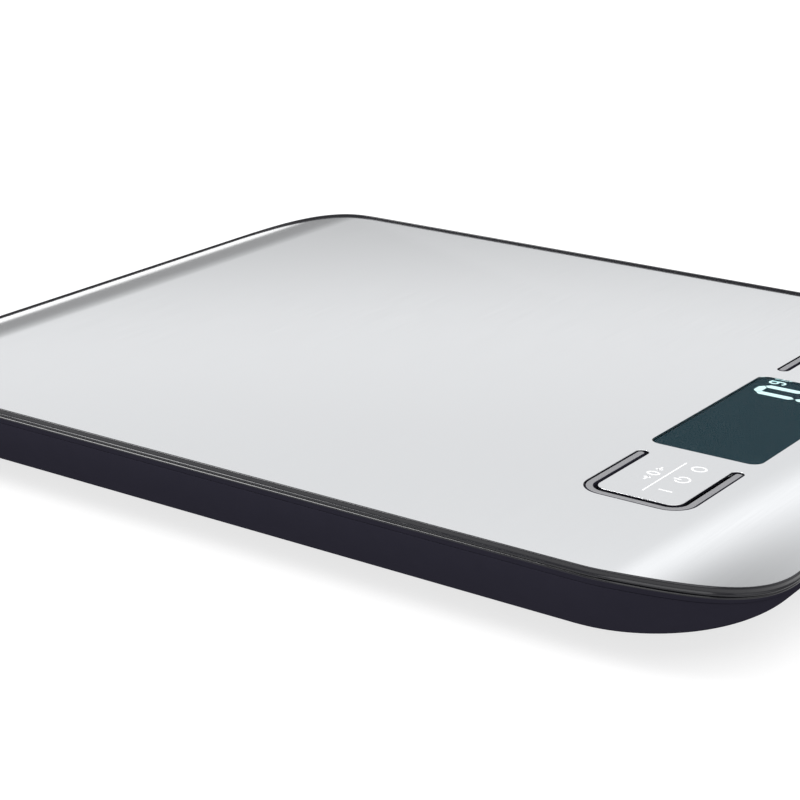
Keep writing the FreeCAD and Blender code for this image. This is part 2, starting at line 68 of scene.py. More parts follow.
MM = 0.001
COVER_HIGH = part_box("top_cover")[1]
PLATE_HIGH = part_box("platform_plate")[1]
KEY_LOW, KEY_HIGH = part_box("right_key")
SURROUND_LOW, SURROUND_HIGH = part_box("right_key_surround")
LENS_LOW, LENS_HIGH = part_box("display_lens")
DOOR_LOW, DOOR_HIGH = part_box("battery_door")
HOUSING_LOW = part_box("lower_housing")[0]
SEAT_LOW, SEAT_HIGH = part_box("front_right_sensor_plate")
HOLDER_LOW, HOLDER_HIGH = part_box("front_right_sensor_holder")
CUP_LOW, CUP_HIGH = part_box("front_right_foot_cup")
PAD_LOW, PAD_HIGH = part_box("front_right_foot_pad")
SIDES = {"left": -1, "right": 1}
CORNERS = {"front_left": (-1, -1), "front_right": (1, -1), "rear_left": (-1, 1), "rear_right": (1, 1)}
ROOT = frame["joints"][0]["pos_m"]
ROOT_X = abs(ROOT[0])
HALF_WIDTH = round(COVER_HIGH.x, 4)
HALF_LENGTH = round(PLATE_HIGH.y + (COVER_HIGH.x - PLATE_HIGH.x), 4)
TOP = COVER_HIGH.z
UNDERSIDE = HOUSING_LOW.z
SCREW_SPOTS = [(-54, -30), (54, -30), (-54, 30), (54, 30), (0, -77.5), (0, 77.5)]
SCREW_SEAT = 4.6 * MM    # height of the face that a housing screw's head meets
LAP = 0.3 * MM           # how far the housing's lip stands up inside the cover's line
PLAY = 0.15 * MM         # clearance all round the display window
LENS_RADIUS = 1.8 * MM
LENS_MIDDLE = (0, (LENS_LOW.y + LENS_HIGH.y) / 2)
LENS_WIDTH = LENS_HIGH.x - LENS_LOW.x
LENS_DEPTH = LENS_HIGH.y - LENS_LOW.y
QUARTERS = ((1, 1, 0), (-1, 1, 90), (-1, -1, 180), (1, -1, 270))    # side in x and y, first angle

# Outer side of the cover from the top down: (inset, depth) in mm. The rim steps out twice, with a groove
# between the two steps, and each step's slope catches the light.
COVER_FLANK = [(0.34, 0.01), (0.27, 0.05), (0.23, 0.14), (0.22, 0.30), (0.22, 0.62), (0.19, 0.70),
               (0.10, 0.80), (0.03, 0.89), (0.0, 0.97), (0.0, 1.03), (0.06, 1.08), (0.24, 1.11),
               (0.26, 1.20), (0.20, 1.26), (0.10, 1.36), (0.03, 1.45), (0.0, 1.53), (0.02, 1.64),
               (0.06, 1.78), (0.11, 1.95), (0.15, 2.15)]
LIP_DEPTH = 1.58 * MM


# ---- What a user would change ----

def length(label, about, default):
    return FloatProperty(name=label, description=about, default=default, unit="LENGTH", precision=5)


def colour(label, about, default):
    return FloatVectorProperty(name=label, description=about, default=default, subtype="COLOR", size=3,
                               min=0.0, max=1.0)


class ScaleSizes(bpy.types.PropertyGroup):
    """Sizes of the scale that its frame doesn't state directly"""
    corner_radius: length("Corner radius", "Radius of the outline's corners", 22.5 * MM)
    flat_half: length("Flat half length", "Half length of the level stretch", 71 * MM)
    end_drop: length("End drop", "How far the rim drops at its ends", 3.75 * MM)
    rim_width: length("Rim width", "Width of the rim's lip round the plate", 0.65 * MM)
    cover_depth: length("Cover depth", "Height of the top cover's skirt", 2.4 * MM)
    slot_width: length("Slot width", "Width of the slot round each key", 2.2 * MM)
    slot_radius: length("Slot radius", "Radius of the slot's outer corners", 4.2 * MM)
    tub_inset: length("Tub inset", "Distance from the outline to the axis of the flanks", 10.7 * MM)
    tub_radius: length("Tub radius", "Radius of the housing's flanks", 10.55 * MM)
    wall: length("Wall", "Wall thickness of the housing", 1.6 * MM)
    edge: length("Edge", "Rounding of sheet metal edges", 0.06 * MM)


class ScaleFinish(bpy.types.PropertyGroup):
    """Colours of the scale's finishes"""
    steel: colour("Steel", "Brushed steel plate and keys", (0.80, 0.81, 0.82))
    cover: colour("Cover", "Top cover moulding", (0.008, 0.008, 0.011))
    housing: colour("Housing", "Lower housing moulding", (0.020, 0.019, 0.028))
    surround: colour("Surround", "Ridge in the slot round each key", (0.22, 0.22, 0.23))
    display: colour("Display", "Dark ground of the display", (0.010, 0.026, 0.034))
    digits: colour("Digits", "Lit segments of the display", (0.55, 0.78, 0.78))
    marks: colour("Marks", "Printed marks on the keys", (0.84, 0.84, 0.85))
    feet: colour("Feet", "Foot cups", (0.020, 0.020, 0.022))
    rubber: colour("Rubber", "Foot pads", (0.045, 0.045, 0.048))
    floor: colour("Floor", "Floor under the scale", (0.30, 0.30, 0.30))


class ScaleStudio(bpy.types.PropertyGroup):
    """Camera and light"""
    lens: FloatProperty(name="Lens", description="Focal length on a 36 mm sensor", default=96.35, min=10.0)
    floor_glow: FloatProperty(name="Floor glow", description="How strongly the lit floor shines by itself",
                              default=0.75, min=0.0)
    place: FloatVectorProperty(name="Place", description="Camera position", subtype="TRANSLATION",
                               default=(-0.3034, -0.2017, 0.1327))
    yaw: FloatProperty(name="Yaw", description="Heading from +Y towards +X", subtype="ANGLE",
                       default=math.radians(54.87))
    pitch: FloatProperty(name="Pitch", description="Downward tilt", subtype="ANGLE",
                         default=math.radians(19.17))
    roll: FloatProperty(name="Roll", description="Turn about the view axis", subtype="ANGLE",
                        default=math.radians(0.11))


# ---- Outlines: each is a function of how far it is moved inwards, giving (x, y) points ----

def rounded(width, depth, radius, centre=(0.0, 0.0), per_corner=24):
    def points(inset=0.0, new_radius=None):
        r = max(radius - inset if new_radius is None else new_radius, 1e-6)
        found = []
        for sx, sy, start in QUARTERS:
            cx = centre[0] + sx * (width / 2 - inset - r)
            cy = centre[1] + sy * (depth / 2 - inset - r)
            for step in range(per_corner + 1):
                turn = math.radians(start + 90 * step / per_corner)
                found.append((cx + r * math.cos(turn), cy + r * math.sin(turn)))
        return found
    return points


def circle(radius, centre=(0.0, 0.0), count=64):
    def points(inset=0.0):
        r = radius - inset
        turns = [2 * math.pi * step / count for step in range(count)]
        return [(centre[0] + r * math.cos(turn), centre[1] + r * math.sin(turn)) for turn in turns]
    return points


def window_hole():
    """Opening round the display window, in the plate and in the cover alike."""
    return rounded(LENS_WIDTH + 2 * PLAY, LENS_DEPTH + 2 * PLAY, LENS_RADIUS + PLAY, LENS_MIDDLE,
                   per_corner=10)


def slot_path(side, shrink=0.0, per_corner=12):
    """Centreline of the slot round a key with outward normals, from the lower arm's end to the upper's."""
    sizes = bpy.context.scene.scale_sizes
    half = sizes.slot_width / 2
    far = KEY_HIGH.x + half + shrink
    low = KEY_LOW.y - half - shrink
    high = KEY_HIGH.y + half + shrink
    radius = sizes.slot_radius - half + shrink
    path = [((ROOT_X, low), (0.0, -1.0))]
    for cy, start in ((low + radius, -90), (high - radius, 0)):
        for step in range(per_corner + 1):
            turn = math.radians(start + 90 * step / per_corner)
            normal = (math.cos(turn), math.sin(turn))
            path.append(((far - radius + radius * normal[0], cy + radius * normal[1]), normal))
    path.append(((ROOT_X, high), (0.0, 1.0)))
    return [((side * p[0], p[1]), (side * n[0], n[1])) for p, n in path]


def offset_side(path, amount):
    return [(p[0] + n[0] * amount, p[1] + n[1] * amount) for p, n in path]


def arm_cap(path_end, side, radius, upper, count=12):
    """Half circle round one end of the slot, from its outer side to its inner side."""
    sign = 1 if upper else -1
    turns = [math.pi * step / count for step in range(1, count)]
    return [(path_end[0] - side * radius * math.sin(turn), path_end[1] + sign * radius * math.cos(turn))
            for turn in turns]


def slot_and_tongue(side):
    """Hole in the plate for one key: the slot's outer side, its round ends and the straight root."""
    half = bpy.context.scene.scale_sizes.slot_width / 2

    def points(inset=0.0):
        path = slot_path(side)
        reach = half - inset
        outer = offset_side(path, reach)
        upper = arm_cap(path[-1][0], side, reach, True)
        lower = arm_cap(path[0][0], side, reach, False)
        root = [(path[-1][0][0], path[-1][0][1] - reach), (path[0][0][0], path[0][0][1] + reach)]
        return outer + upper + root + lower[::-1]
    return points


def tongue(side):
    half = bpy.context.scene.scale_sizes.slot_width / 2

    def points(inset=0.0):
        return offset_side(slot_path(side), -half - inset)
    return points


def slot_ridge(side, width, shift):
    """Closed U-shaped outline inside the slot; shift moves its centreline towards the slot's outer side."""
    def points(inset=0.0):
        path = slot_path(side, shift)
        reach = width / 2 - inset
        outer = offset_side(path, reach)
        inner = offset_side(path, -reach)
        upper = arm_cap(path[-1][0], side, reach, True)
        lower = arm_cap(path[0][0], side, reach, False)
        return outer + upper + inner[::-1] + lower[::-1]
    return points


# ---- Mesh building ----

def stack(outline, steps):
    """Rings of an outline from (inset, z) steps."""
    return [[(x, y, z) for x, y in outline(inset)] for inset, z in steps]


def round_over(radius, z, count=4, sign=1):
    """(inset, z) steps of a rounded top edge, from the face at height z down to the wall."""
    turns = [math.pi / 2 * step / count for step in range(count + 1)]
    return [(sign * radius * (1 - math.sin(turn)), z - radius * (1 - math.cos(turn))) for turn in turns]


def chain(bm, rings):
    """Faces between successive rings of points; returns the first and last rings of vertices."""
    made = [[bm.verts.new(point) for point in ring] for ring in rings]
    for above, beneath in zip(made, made[1:]):
        count = len(above)
        for index in range(count):
            after = (index + 1) % count
            bm.faces.new((above[index], above[after], beneath[after], beneath[index]))
    return made[0], made[-1]


def cap(bm, *rings):
    """Flat face over the first ring, with the other rings as holes; its border stays a crisp edge."""
    edges = []
    for ring in rings:
        for index, vertex in enumerate(ring):
            edges.append(bm.edges.get((vertex, ring[(index + 1) % len(ring)])))
    bmesh.ops.triangle_fill(bm, use_beauty=True, edges=edges)
    for edge in edges:
        edge.smooth = False


def drop(y):
    sizes = bpy.context.scene.scale_sizes
    run = HALF_LENGTH - sizes.flat_half
    radius = (run * run + sizes.end_drop * sizes.end_drop) / (2 * sizes.end_drop)
    beyond = max(abs(y) - sizes.flat_half, 0.0)
    return radius - math.sqrt(radius * radius - beyond * beyond)


def cut_across(bm, place, along):
    """Cuts every face in the plane through a place, square to a direction."""
    everything = bm.verts[:] + bm.edges[:] + bm.faces[:]
    bmesh.ops.bisect_plane(bm, geom=everything, dist=1e-7, plane_co=place, plane_no=along)


def curve_ends(bm):
    """Cuts the mesh across in the end stretches, then lets it follow the downward curve."""
    flat = bpy.context.scene.scale_sizes.flat_half
    pitch = 0.8 * MM
    steps = int((HALF_LENGTH - flat) / pitch) + 1
    for side in (-1, 1):
        for step in range(steps):
            cut_across(bm, (0, side * (flat + step * pitch), 0), (0, 1, 0))
    for vertex in bm.verts:
        vertex.co.z -= drop(vertex.co.y)


def piece(bm, name, finish, crease=50.0):
    """Turns a bmesh into an object: doubles merged, faces outwards, smooth up to the crease angle."""
    bmesh.ops.remove_doubles(bm, verts=bm.verts[:], dist=1e-7)
    bmesh.ops.recalc_face_normals(bm, faces=bm.faces[:])
    limit = math.radians(crease)
    for edge in bm.edges:
        if len(edge.link_faces) == 2 and edge.calc_face_angle(0.0) > limit:
            edge.smooth = False
    for face in bm.faces:
        face.smooth = True
    mesh = bpy.data.meshes.new(name)
    bm.to_mesh(mesh)
    bm.free()
    made = bpy.data.objects.new(name, mesh)
    bpy.context.scene.collection.objects.link(made)
    mesh.materials.append(finish)
    return made


def slab(rings, holes=(), curved=False):
    """Closed sheet from the rings of its border and of its through holes, each from top face to bottom."""
    bm = bmesh.new()
    ends = [chain(bm, border) for border in [rings] + list(holes)]
    cap(bm, *[first for first, last in ends])
    cap(bm, *[last for first, last in ends])
    if curved:
        curve_ends(bm)
    return bm


def turned(bm, profile, centre, count=96):
    """Closed round body from (radius, z) points; the first and last lie on the axis."""
    rings = []
    for radius, z in profile[1:-1]:
        outline = circle(radius, centre, count)
        rings.append([(x, y, z) for x, y in outline()])
    first, last = chain(bm, rings)
    for ring, z in ((first, profile[0][1]), (last, profile[-1][1])):
        tip = bm.verts.new((centre[0], centre[1], z))
        for index, vertex in enumerate(ring):
            bm.faces.new((tip, vertex, ring[(index + 1) % len(ring)]))


def ribbon(bm, points, width, low, high, closed=False):
    """Flat printed stroke of even width along a line of points."""
    count = len(points)
    left, right = [], []
    for index, point in enumerate(points):
        before = points[index - 1] if index or closed else point
        after = points[(index + 1) % count] if index < count - 1 or closed else point
        along = Vector((after[0] - before[0], after[1] - before[1])).normalized()
        across = Vector((-along.y, along.x)) * width / 2
        left.append((point[0] + across.x, point[1] + across.y))
        right.append((point[0] - across.x, point[1] - across.y))
    verts = [[bm.verts.new((x, y, z)) for x, y in row] for row in (left, right) for z in (high, low)]
    spans = range(count if closed else count - 1)
    for index in spans:
        after = (index + 1) % count
        for a, b in ((0, 2), (2, 3), (3, 1), (1, 0)):
            bm.faces.new((verts[a][index], verts[a][after], verts[b][after], verts[b][index]))
    if not closed:
        for index in (0, count - 1):
            bm.faces.new((verts[0][index], verts[2][index], verts[3][index], verts[1][index]))


def arc(centre, radius, start, end, count=24, squeeze=1.0):
    turns = [math.radians(start + (end - start) * step / count) for step in range(count + 1)]
    return [(centre[0] + squeeze * radius * math.cos(t), centre[1] + radius * math.sin(t)) for t in turns]


# ---- Geometry Nodes: one tree sets copies of a small piece on points ----

def join(tree, *rows):
    """Links nodes: each row is (node, output, node, input)."""
    for source, out, target, into in rows:
        tree.links.new(source.outputs[out], target.inputs[into])


def copies_tree():
    """Node group: copies of an object on the mesh's points, realised and given one finish."""
    tree = bpy.data.node_groups.get("copies_on_points")
    if tree:
        return tree
    tree = bpy.data.node_groups.new("copies_on_points", "GeometryNodeTree")
    face = tree.interface
    for label, kind in (("Geometry", "Geometry"), ("Copy", "Object"), ("Size", "Float"), ("Turn", "Float"),
                        ("Finish", "Material")):
        face.new_socket(label, in_out="INPUT", socket_type="NodeSocket" + kind)
    face.new_socket("Geometry", in_out="OUTPUT", socket_type="NodeSocketGeometry")
    node = tree.nodes.new
    entry = node("NodeGroupInput")
    exit_node = node("NodeGroupOutput")
    info = node("GeometryNodeObjectInfo")
    spread = node("GeometryNodeInstanceOnPoints")
    number = node("GeometryNodeInputIndex")
    angle = node("ShaderNodeMath")
    angle.operation = "MULTIPLY"
    about = node("ShaderNodeCombineXYZ")
    real = node("GeometryNodeRealizeInstances")
    paint = node("GeometryNodeSetMaterial")
    join(tree, (entry, "Geometry", spread, "Points"), (entry, "Copy", info, "Object"),
         (info, "Geometry", spread, "Instance"), (entry, "Size", spread, "Scale"),
         (number, "Index", angle, 0), (entry, "Turn", angle, 1), (angle, 0, about, "Z"),
         (about, "Vector", spread, "Rotation"), (spread, "Instances", real, "Geometry"),
         (real, "Geometry", paint, "Geometry"), (entry, "Finish", paint, "Material"),
         (paint, "Geometry", exit_node, "Geometry"))
    return tree


def repeated(name, copy, spots, finish, size=1.0, turn=0.0):
    """A plain mesh of copies of one object at the given spots; the original is removed."""
    points = bpy.data.meshes.new(name)
    points.from_pydata(spots, [], [])
    made = bpy.data.objects.new(name, points)
    bpy.context.scene.collection.objects.link(made)
    tree = copies_tree()
    modifier = made.modifiers.new("copies", "NODES")
    modifier.node_group = tree
    values = {"Copy": copy, "Size": size, "Turn": turn, "Finish": finish}
    for item in tree.interface.items_tree:
        if item.in_out == "INPUT" and item.name in values:
            modifier[item.identifier] = values[item.name]
    bpy.context.view_layer.update()
    graph = bpy.context.evaluated_depsgraph_get()
    mesh = bpy.data.meshes.new_from_object(made.evaluated_get(graph))
    made.modifiers.clear()
    made.data = mesh
    mesh.name = name
    bpy.data.objects.remove(copy)
    if not mesh.polygons:
        raise RuntimeError(f"{name}: the copies came out empty")
    return made


# ---- Finishes ----

def finish(name, base, roughness=(0.4, 0.5), metallic=0.0, specular=0.5, scale=400.0, stretch=(1, 1, 1),
           relief=0.1, depth=0.02, tint=0.04, detail=3.0, glow=0.0, alpha=1.0):
    """Material with grain on object coordinates that varies its roughness, colour and relief."""
    made = bpy.data.materials.new(name)
    made.use_nodes = True
    nodes = made.node_tree.nodes
    shader = nodes["Principled BSDF"]
    shader.inputs["Metallic"].default_value = metallic
    shader.inputs["Specular IOR Level"].default_value = specular
    shader.inputs["Alpha"].default_value = alpha
    if glow:
        shader.inputs["Emission Color"].default_value = list(base) + [1]
        shader.inputs["Emission Strength"].default_value = glow
    place = nodes.new("ShaderNodeTexCoord")
    mapping = nodes.new("ShaderNodeMapping")
    mapping.inputs["Scale"].default_value = stretch
    grain = nodes.new("ShaderNodeTexNoise")
    grain.inputs["Scale"].default_value = scale
    grain.inputs["Detail"].default_value = detail
    spread = nodes.new("ShaderNodeMapRange")
    for socket, value in zip(("From Min", "From Max", "To Min", "To Max"), (0.3, 0.7) + tuple(roughness)):
        spread.inputs[socket].default_value = value
    blend = nodes.new("ShaderNodeMix")
    blend.data_type = "RGBA"
    blend.inputs["A"].default_value = [channel * (1 - tint) for channel in base] + [1]
    blend.inputs["B"].default_value = [min(channel * (1 + tint), 1) for channel in base] + [1]
    bump = nodes.new("ShaderNodeBump")
    bump.inputs["Strength"].default_value = relief
    bump.inputs["Distance"].default_value = depth * MM
    join(made.node_tree, (place, "Object", mapping, "Vector"), (mapping, "Vector", grain, "Vector"),
         (grain, "Fac", spread, "Value"), (spread, "Result", shader, "Roughness"),
         (grain, "Fac", blend, "Factor"), (blend, "Result", shader, "Base Color"),
         (grain, "Fac", bump, "Height"), (bump, "Normal", shader, "Normal"))
    return made


# Each finish: its colour, or the name of one of the colours above, then its range of roughness and its
# grain. Relief and depth are the bump's strength and its height in mm.
FINISHES = {
    "brushed_steel": ("steel", (0.10, 0.145), dict(metallic=1.0, scale=1.0, stretch=(60, 5200, 60),
        relief=0.035, depth=0.004, tint=0.012, detail=4.0)),
    "gloss_cover": ("cover", (0.12, 0.17), dict(specular=0.50, scale=260, relief=0.01, depth=0.004)),
    "satin_housing": ("housing", (0.28, 0.34), dict(specular=0.0, scale=260, relief=0.01, depth=0.004,
        tint=0.06)),
    "surround_grey": ("surround", (0.55, 0.7), dict(scale=4200, relief=0.35, depth=0.03, tint=0.10)),
    "display_ground": ("display", (0.3, 0.4), dict(scale=900.0, relief=0.02, depth=0.002, tint=0.02,
        specular=0.0, glow=0.08)),
    "display_digits": ("digits", (0.3, 0.4), dict(scale=900.0, relief=0.02, depth=0.002, tint=0.02,
        specular=0.0, glow=0.30)),
    "clear_window": ((0.03, 0.06, 0.07), (0.06, 0.10), dict(scale=500.0, relief=0.01, depth=0.001,
        tint=0.01, alpha=0.05)),
    "mark_ink": ("marks", (0.5, 0.65), dict(scale=3000, relief=0.1, depth=0.004, tint=0.02)),
    "foot_moulding": ("feet", (0.45, 0.6), dict(scale=3500, relief=0.3, depth=0.02, tint=0.08)),
    "foot_rubber": ("rubber", (0.7, 0.85), dict(scale=1800, relief=0.25, depth=0.03, tint=0.12)),
    "screw_steel": ((0.50, 0.51, 0.53), (0.25, 0.4), dict(metallic=1.0, scale=1500, relief=0.1,
        depth=0.01, tint=0.06)),
    "cell_steel": ((0.66, 0.67, 0.69), (0.18, 0.3), dict(metallic=1.0, scale=1.0,
        stretch=(200, 3000, 200), relief=0.1, depth=0.01)),
    "spring_nickel": ((0.62, 0.60, 0.56), (0.22, 0.35), dict(metallic=1.0, scale=900, relief=0.05,
        depth=0.01)),
    "board_green": ((0.02, 0.16, 0.06), (0.3, 0.4), dict(scale=700, relief=0.3, depth=0.03, tint=0.35)),
    "cast_resin": ((0.012, 0.012, 0.013), (0.15, 0.3), dict(scale=300, relief=0.2, depth=0.05)),
    "natural_plastic": ((0.74, 0.74, 0.71), (0.4, 0.55), dict(scale=1500, relief=0.1, depth=0.02)),
    "silicone": ((0.25, 0.26, 0.27), (0.6, 0.75), dict(scale=1200, relief=0.15, depth=0.02)),
    "film_grey": ((0.10, 0.12, 0.12), (0.1, 0.2), dict(scale=600, relief=0.02, depth=0.01)),
    "gauge_foil": ((0.60, 0.30, 0.06), (0.25, 0.4), dict(scale=1.0, stretch=(6000, 300, 300), relief=0.3,
        depth=0.01, tint=0.3)),
    "wire_jacket": ((0.03, 0.03, 0.03), (0.4, 0.55), dict(scale=900, relief=0.1, depth=0.02)),
    "tape_white": ((0.70, 0.68, 0.62), (0.6, 0.8), dict(scale=1600, relief=0.2, depth=0.02)),
    "switch_case": ((0.02, 0.02, 0.02), (0.35, 0.5), dict(scale=2000, relief=0.15, depth=0.02)),
    "switch_stem": ((0.45, 0.05, 0.03), (0.35, 0.5), dict(scale=2000, relief=0.1, depth=0.02)),
}


def get_finish(name):
    """A finish by name, made on first use."""
    found = bpy.data.materials.get(name)
    if found:
        return found
    base, roughness, grain = FINISHES[name]
    if isinstance(base, str):
        base = getattr(bpy.context.scene.scale_finish, base)
    return finish(name, base, roughness, **grain)


# ---- Pieces ----

def make_plate():
    """Steel plate with its window and key slots, curved down at both ends."""
    sizes = bpy.context.scene.scale_sizes
    inset = HALF_WIDTH - PLATE_HIGH.x
    top = PLATE_HIGH.z
    bottom = KEY_LOW.z
    edge = sizes.edge
    border = rounded(2 * (HALF_WIDTH - inset), 2 * (HALF_LENGTH - inset), sizes.corner_radius - inset,
                     per_corner=32)
    rim = stack(border, round_over(edge, top) + [(0, bottom)])
    holes = [stack(hole, round_over(edge, top, sign=-1) + [(0, bottom)])
             for hole in [window_hole()] + [slot_and_tongue(side) for side in SIDES.values()]]
    made = piece(slab(rim, holes, curved=True), "steel_plate", get_finish("brushed_steel"))
    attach(made, "housing")
    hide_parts("platform_plate")


def bend_key(made):
    """Bakes a key piece's placement into its mesh."""
    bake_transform(made)


def make_keys():
    """Two steel tongues, each cut across at its root so that it can bend."""
    edge = bpy.context.scene.scale_sizes.edge
    cuts, spacing = 13, 0.5 * MM
    for word, side in SIDES.items():
        bm = slab(stack(tongue(side), round_over(edge, PLATE_HIGH.z) + [(0, KEY_LOW.z)]))
        for step in range(1, cuts + 1):
            cut_across(bm, (side * (ROOT_X + step * spacing), 0, 0), (1, 0, 0))
        made = piece(bm, word + "_steel_key", get_finish("brushed_steel"))
        bend_key(made)
        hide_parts(word + "_key")


def power_marks(bm, centre, stroke, low, high):
    """Standby sign between a bar and a ring, the usual on and off signs."""
    cx, cy = centre
    radius = 1.15 * MM
    ribbon(bm, arc(centre, radius, 125, 415), stroke, low, high)
    ribbon(bm, [(cx, cy + 0.2 * MM), (cx, cy + 1.5 * MM)], stroke, low, high)
    far = 5.4 * MM
    ribbon(bm, [(cx - far, cy - radius), (cx - far, cy + radius)], stroke, low, high)
    ribbon(bm, arc((cx + far, cy), radius, 0, 345, squeeze=0.85), stroke, low, high, closed=True)


def zero_marks(bm, centre, stroke, low, high):
    """Two arrows that point at a ring: back to zero."""
    cx, cy = centre
    ribbon(bm, arc(centre, 0.95 * MM, 0, 345, squeeze=0.65), stroke, low, high, closed=True)
    for side in (-1, 1):
        tip = cx + side * 1.5 * MM
        tail = cx + side * 3.0 * MM
        ribbon(bm, [(tail, cy), (tip, cy)], stroke, low, high)
        barb = 0.55 * MM
        ribbon(bm, [(tip + side * barb, cy + barb), (tip, cy), (tip + side * barb, cy - barb)],
               stroke, low, high)


def swap_marks(bm, centre, stroke, low, high):
    """Two opposite arrows: change the unit."""
    cx, cy = centre
    half = 3.2 * MM
    barb = 0.8 * MM
    for side in (-1, 1):
        y = cy + side * 0.95 * MM
        tip = cx + side * half
        ribbon(bm, [(cx - side * half, y), (tip, y)], stroke, low, high)
        ribbon(bm, [(tip - side * barb, y + barb), (tip, y), (tip - side * barb, y - barb)],
               stroke, low, high)


def make_marks():
    """Printed signs on the keys: zero over power on the left one, unit change on the right one."""
    high = PLATE_HIGH.z + 0.012 * MM
    low = PLATE_HIGH.z - 0.01 * MM
    stroke = 0.34 * MM
    line_y = -60.2 * MM
    line_start, line_length, line_width = 25.4 * MM, 14.0 * MM, 0.26 * MM
    parts = 28
    left_x, right_x = 32.2 * MM, 34.0 * MM
    zero_up, power_down = 2.1 * MM, 2.9 * MM
    for word, side in SIDES.items():
        bm = bmesh.new()
        if side < 0:
            line = [(side * (line_start + line_length * step / parts), line_y) for step in range(parts + 1)]
            ribbon(bm, line, line_width, low, high)
            zero_marks(bm, (side * left_x, line_y + zero_up), stroke, low, high)
            power_marks(bm, (side * left_x, line_y - power_down), stroke, low, high)
        else:
            swap_marks(bm, (side * right_x, line_y), stroke, low, high)
        made = piece(bm, word + "_key_marks", get_finish("mark_ink"))
        bend_key(made)


def make_surrounds():
    """Ridge in each key's slot, nearer to the slot's outer side: a grey crown, and leaning sides in the
    black housing finish as painted shade for the dark gaps round it.
    """
    outer_gap = 0.20 * MM
    inner_gap = 0.60 * MM
    shoulder = 0.28 * MM
    level = 0.97    # a face that leans more than this takes the black finish: painted shade along the ridge's sides
    width = bpy.context.scene.scale_sizes.slot_width - outer_gap - inner_gap
    shift = (inner_gap - outer_gap) / 2
    for word, side in SIDES.items():
        steps = round_over(shoulder, SURROUND_HIGH.z) + [(0, SURROUND_LOW.z)]
        bm = slab(stack(slot_ridge(side, width, shift), steps))
        # painted shade: the leaning faces get the black housing finish so that the ridge shows dark
        # outlines
        for face in bm.faces:
            if abs(face.normal.z) < level:
                face.material_index = 1
        made = piece(bm, word + "_slot_ridge", get_finish("surround_grey"))
        made.data.materials.append(get_finish("satin_housing"))
        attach(made, "housing")
        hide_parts(word + "_key_surround")


def segment(bm, start, end, width, low, high):
    """One display segment: a bar with pointed ends."""
    a, b = Vector(start), Vector(end)
    along = (b - a).normalized()
    across = Vector((-along.y, along.x)) * width / 2
    inner = width / 2
    outline = [a, a + along * inner + across, b - along * inner + across, b,
               b - along * inner - across, a + along * inner - across]
    upper = [bm.verts.new((p.x, p.y, high)) for p in outline]
    lower = [bm.verts.new((p.x, p.y, low)) for p in outline]
    bm.faces.new(upper)
    bm.faces.new(lower[::-1])
    for index in range(len(outline)):
        after = (index + 1) % len(outline)
        bm.faces.new((upper[index], lower[index], lower[after], upper[after]))


def make_display():
    """Clear window, dark ground under it, and the lit zero with its unit sign."""
    outline = rounded(LENS_WIDTH, LENS_DEPTH, LENS_RADIUS, LENS_MIDDLE, per_corner=12)
    cover_t = 0.35 * MM
    split = LENS_HIGH.z - cover_t
    bm = slab(stack(outline, round_over(0.08 * MM, LENS_HIGH.z) + [(0, split)]))
    window = piece(bm, "display_window", get_finish("clear_window"))
    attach(window, "housing")
    ground_top = split - 0.05 * MM
    bm = slab(stack(outline, [(0, ground_top), (0, LENS_LOW.z)]))
    ground = piece(bm, "display_ground", get_finish("display_ground"))
    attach(ground, "housing")
    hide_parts("display_lens")
    low = ground_top - 0.005 * MM
    high = ground_top + 0.02 * MM
    stroke = 1.45 * MM
    x0, x1 = 12.7 * MM, 16.4 * MM
    y0, y1, y2 = -67.5 * MM, -60.3 * MM, -53.1 * MM
    gap = 0.12 * MM
    bm = bmesh.new()
    for x in (x0, x1):
        segment(bm, (x, y0 + gap), (x, y1 - gap), stroke, low, high)
        segment(bm, (x, y1 + gap), (x, y2 - gap), stroke, low, high)
    for y in (y0, y2):
        segment(bm, (x0 + gap, y), (x1 - gap, y), stroke, low, high)
    unit = (18.9 * MM, -53.6 * MM)
    thin = 0.42 * MM
    ribbon(bm, arc(unit, 0.72 * MM, 0, 345, squeeze=0.85), thin, low, high, closed=True)
    stem = unit[0] + 0.66 * MM
    hook = arc((unit[0], unit[1] - 1.35 * MM), 0.66 * MM, 0, -150, count=14)
    ribbon(bm, [(stem, unit[1] + 0.8 * MM), (stem, unit[1] - 1.2 * MM)] + hook, thin, low, high)
    digits = piece(bm, "display_digits", get_finish("display_digits"))
    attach(digits, "housing")


def tub_inset(depth, radius):
    """Distance from the outline to the flank's surface at a depth below the rim's top."""
    sizes = bpy.context.scene.scale_sizes
    axis_depth = TOP - UNDERSIDE - sizes.tub_radius
    under = min(max(depth - axis_depth, 0.0), radius)
    return sizes.tub_inset - math.sqrt(radius * radius - under * under)


def outline_ring(inset_at, z_at, per_corner=32):
    """Ring of the scale's outline whose inset and height may depend on the distance from the middle."""
    sizes = bpy.context.scene.scale_sizes
    ring = []
    for sx, sy, start in QUARTERS:
        for step in range(per_corner + 1):
            turn = math.radians(start + 90 * step / per_corner)
            edge_y = sy * (HALF_LENGTH - sizes.corner_radius) + sizes.corner_radius * math.sin(turn)
            inset = inset_at(edge_y)
            radius = sizes.corner_radius - 0.3 * inset
            x = sx * (HALF_WIDTH - inset - radius) + radius * math.cos(turn)
            y = sy * (HALF_LENGTH - inset - radius) + radius * math.sin(turn)
            ring.append((x, y, z_at(y)))
    return ring


